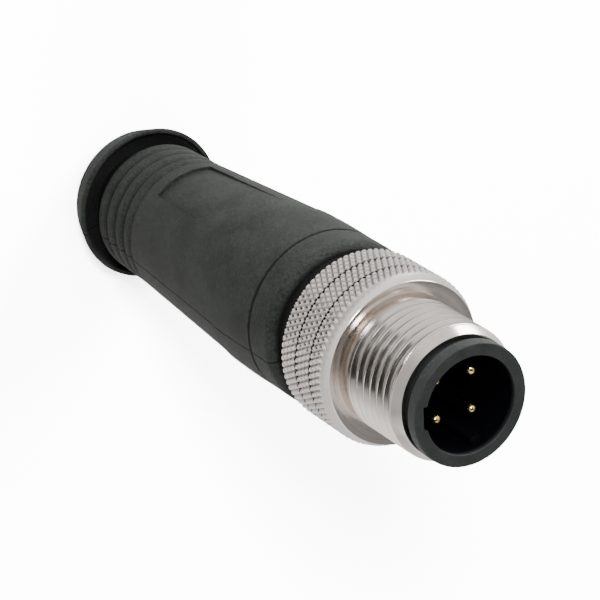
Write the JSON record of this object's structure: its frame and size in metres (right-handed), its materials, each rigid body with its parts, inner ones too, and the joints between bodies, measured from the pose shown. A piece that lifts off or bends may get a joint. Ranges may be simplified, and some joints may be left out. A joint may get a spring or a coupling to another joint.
{
  "type": "m12 connector",
  "caption": "Circular plug with gold contacts in a keyed cup, a freely turning knurled coupling screw with an outside thread, and a ribbed moulded grip that is closed at the rear.",
  "frame": {"origin": "centre of the flat rear face of the grip's flange, on the plug axis", "axes": "+Z along the plug axis out of the contact face; the keyway in the cup wall is on -X"},
  "size_m": [0.0156, 0.0156, 0.0574],
  "materials": {
    "grip": "dark grey-green moulded elastomer with a fine matt grain",
    "shell": "plain moulded",
    "insert": "dark grey-green, matt moulded",
    "nickel": "nickel plated, bright turned and knurled",
    "gold": "gold plated, polished",
    "board": "green solder resist",
    "solder": "bright solder",
    "chip": "plain"
  },
  "bodies": {
    "plug": {"grip_body": "grip", "inner_shell": "shell", "contact_insert": "insert", "contact_pin_1": "gold", "contact_pin_2": "gold", "contact_pin_3": "gold", "contact_pin_4": "gold", "circuit_board": "board", "solder_joint_1": "solder", "solder_joint_2": "solder", "solder_joint_3": "solder", "solder_joint_4": "solder", "resistor_1": "chip", "resistor_2": "chip", "resistor_3": "chip"},
    "coupling": {"coupling_screw": "nickel"}
  },
  "joints": [
    {"name": "coupling_spin", "type": "hinge", "parent": "plug", "child": "coupling", "pos_m": [0, 0, 0.04796], "axis": [0, 0, 1], "continuous": true}
  ]
}
